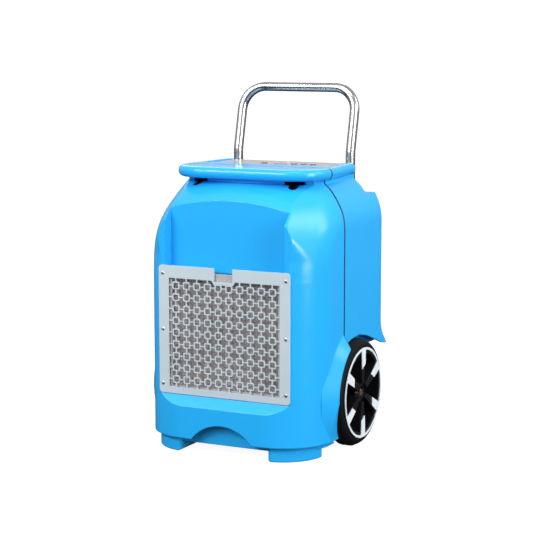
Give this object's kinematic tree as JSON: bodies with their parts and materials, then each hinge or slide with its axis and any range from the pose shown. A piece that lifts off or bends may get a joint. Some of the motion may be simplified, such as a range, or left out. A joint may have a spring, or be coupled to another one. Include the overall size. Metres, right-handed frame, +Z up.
{
  "type": "commercial dehumidifier",
  "caption": "Upright portable dehumidifier cabinet with a pierced front intake grille, side wheels, front feet, a rimmed top control panel and a sliding bent-tube pull handle.",
  "frame": {"origin": "on the floor, under the middle of the machine's bounding box", "axes": "+Z up, +Y to the back where the handle is, +X to the operator's right seen from behind the grille, grille facing -Y"},
  "size_m": [0.4868, 0.46, 0.8305],
  "materials": {
    "blue_plastic": "satin gloss moulded shell",
    "dark_seal": "matt",
    "grille_metal": "fine satin coat, light blue-grey",
    "steel_screws": "bright zinc",
    "filter_frame": "grey moulded frame",
    "filter_weave": "fine woven mesh",
    "stainless": "polished stainless tube",
    "black_plastic": "moulded",
    "panel_face": "gloss light grey fascia",
    "button_caps": "satin",
    "power_cap": "satin",
    "dark_lens": "gloss dark lens",
    "green_board": "printed board",
    "tyre_rubber": "charcoal solid rubber",
    "rim_plastic": "black satin",
    "trim_white": "white ring and tips",
    "zinc_steel": "yellow zinc",
    "galvanised": "galvanised sheet",
    "fins": "finned block",
    "black_steel": "black enamel",
    "grommet_rubber": "matt",
    "copper": "drawn copper tube",
    "capacitor_can": "drawn can",
    "pin_brass": "plated",
    "white_plastic": "natural",
    "hose_rubber": "translucent grey hose"
  },
  "bodies": {
    "cabinet": {"front_shell": "blue_plastic", "rear_shell": "blue_plastic", "base_tray": "blue_plastic", "seam_gasket": "dark_seal", "grille_plate": "grille_metal", "grille_screws": "steel_screws", "panel_screws": "steel_screws", "outlet_screws": "steel_screws", "base_screws": "steel_screws", "handle_socket_left": "black_plastic", "handle_socket_right": "black_plastic", "outlet_grille": "black_plastic", "mains_inlet": "black_plastic", "drain_coupling": "black_plastic", "condensate_pump": "black_plastic", "electrical_box": "black_plastic", "electrical_lid": "black_plastic", "control_panel": "panel_face", "display_window": "dark_lens", "circuit_board": "green_board", "axle": "zinc_steel", "hub_washers": "zinc_steel", "hub_bolts": "zinc_steel", "chassis_frame": "galvanised", "coil_stand": "galvanised", "drip_tray": "galvanised", "fan_bulkhead": "galvanised", "motor_bracket": "galvanised", "evaporator": "fins", "condenser": "fins", "compressor": "black_steel", "fan_motor": "black_steel", "compressor_grommets": "grommet_rubber", "discharge_line": "copper", "suction_line": "copper", "liquid_line": "copper", "capillary_line": "copper", "filter_drier": "copper", "run_capacitor": "capacitor_can", "inlet_pins": "pin_brass", "pump_reservoir": "white_plastic", "drain_hose": "hose_rubber"},
    "wheel_left": {"tyre_left": "tyre_rubber", "wheel_rim_left": "rim_plastic", "wheel_trim_left": "trim_white"},
    "wheel_right": {"tyre_right": "tyre_rubber", "wheel_rim_right": "rim_plastic", "wheel_trim_right": "trim_white"},
    "handle": {"handle_tube": "stainless", "handle_end_plugs": "black_plastic"},
    "clamp_left": {"clamp_knob_left": "black_plastic"},
    "clamp_right": {"clamp_knob_right": "black_plastic"},
    "filter": {"filter_frame": "filter_frame", "filter_mesh": "filter_weave"},
    "power": {"button_power": "power_cap"},
    "mode": {"button_mode": "button_caps"},
    "down": {"button_down": "button_caps"},
    "up": {"button_up": "button_caps"},
    "fan": {"fan_impeller": "black_plastic"},
    "float": {"float_arm": "white_plastic"}
  },
  "joints": [
    {"name": "wheel_left_spin", "type": "hinge", "parent": "cabinet", "child": "wheel_left", "pos_m": [-0.22, 0.016, 0.125], "axis": [1, 0, 0], "continuous": true},
    {"name": "wheel_right_spin", "type": "hinge", "parent": "cabinet", "child": "wheel_right", "pos_m": [0.22, 0.016, 0.125], "axis": [1, 0, 0], "continuous": true},
    {"name": "handle_slide", "type": "slide", "parent": "cabinet", "child": "handle", "axis": [0, 0, 1], "range_m": [-0.06, 0.14]},
    {"name": "clamp_left_turn", "type": "hinge", "parent": "cabinet", "child": "clamp_left", "pos_m": [-0.1488, 0.205, 0.52], "axis": [0, 1, 0], "range_deg": [0, 360]},
    {"name": "clamp_right_turn", "type": "hinge", "parent": "cabinet", "child": "clamp_right", "pos_m": [0.1488, 0.205, 0.52], "axis": [0, 1, 0], "range_deg": [0, 360]},
    {"name": "filter_lift", "type": "slide", "parent": "cabinet", "child": "filter", "axis": [0, 0, 1], "range_m": [0, 0.29]},
    {"name": "button_power_press", "type": "slide", "parent": "cabinet", "child": "power", "axis": [0, 0, -1], "range_m": [0, 0.0015], "stiffness_N_per_m": 400, "springref_m": -0.0005},
    {"name": "button_mode_press", "type": "slide", "parent": "cabinet", "child": "mode", "axis": [0, 0, -1], "range_m": [0, 0.0015], "stiffness_N_per_m": 400, "springref_m": -0.0005},
    {"name": "button_down_press", "type": "slide", "parent": "cabinet", "child": "down", "axis": [0, 0, -1], "range_m": [0, 0.0015], "stiffness_N_per_m": 400, "springref_m": -0.0005},
    {"name": "button_up_press", "type": "slide", "parent": "cabinet", "child": "up", "axis": [0, 0, -1], "range_m": [0, 0.0015], "stiffness_N_per_m": 400, "springref_m": -0.0005},
    {"name": "fan_spin", "type": "hinge", "parent": "cabinet", "child": "fan", "pos_m": [0, -0.027, 0.396], "axis": [0, 1, 0], "continuous": true},
    {"name": "float_swing", "type": "hinge", "parent": "cabinet", "child": "float", "pos_m": [0.124, -0.031, 0.088], "axis": [0, 1, 0], "range_deg": [-25, 8]}
  ]
}
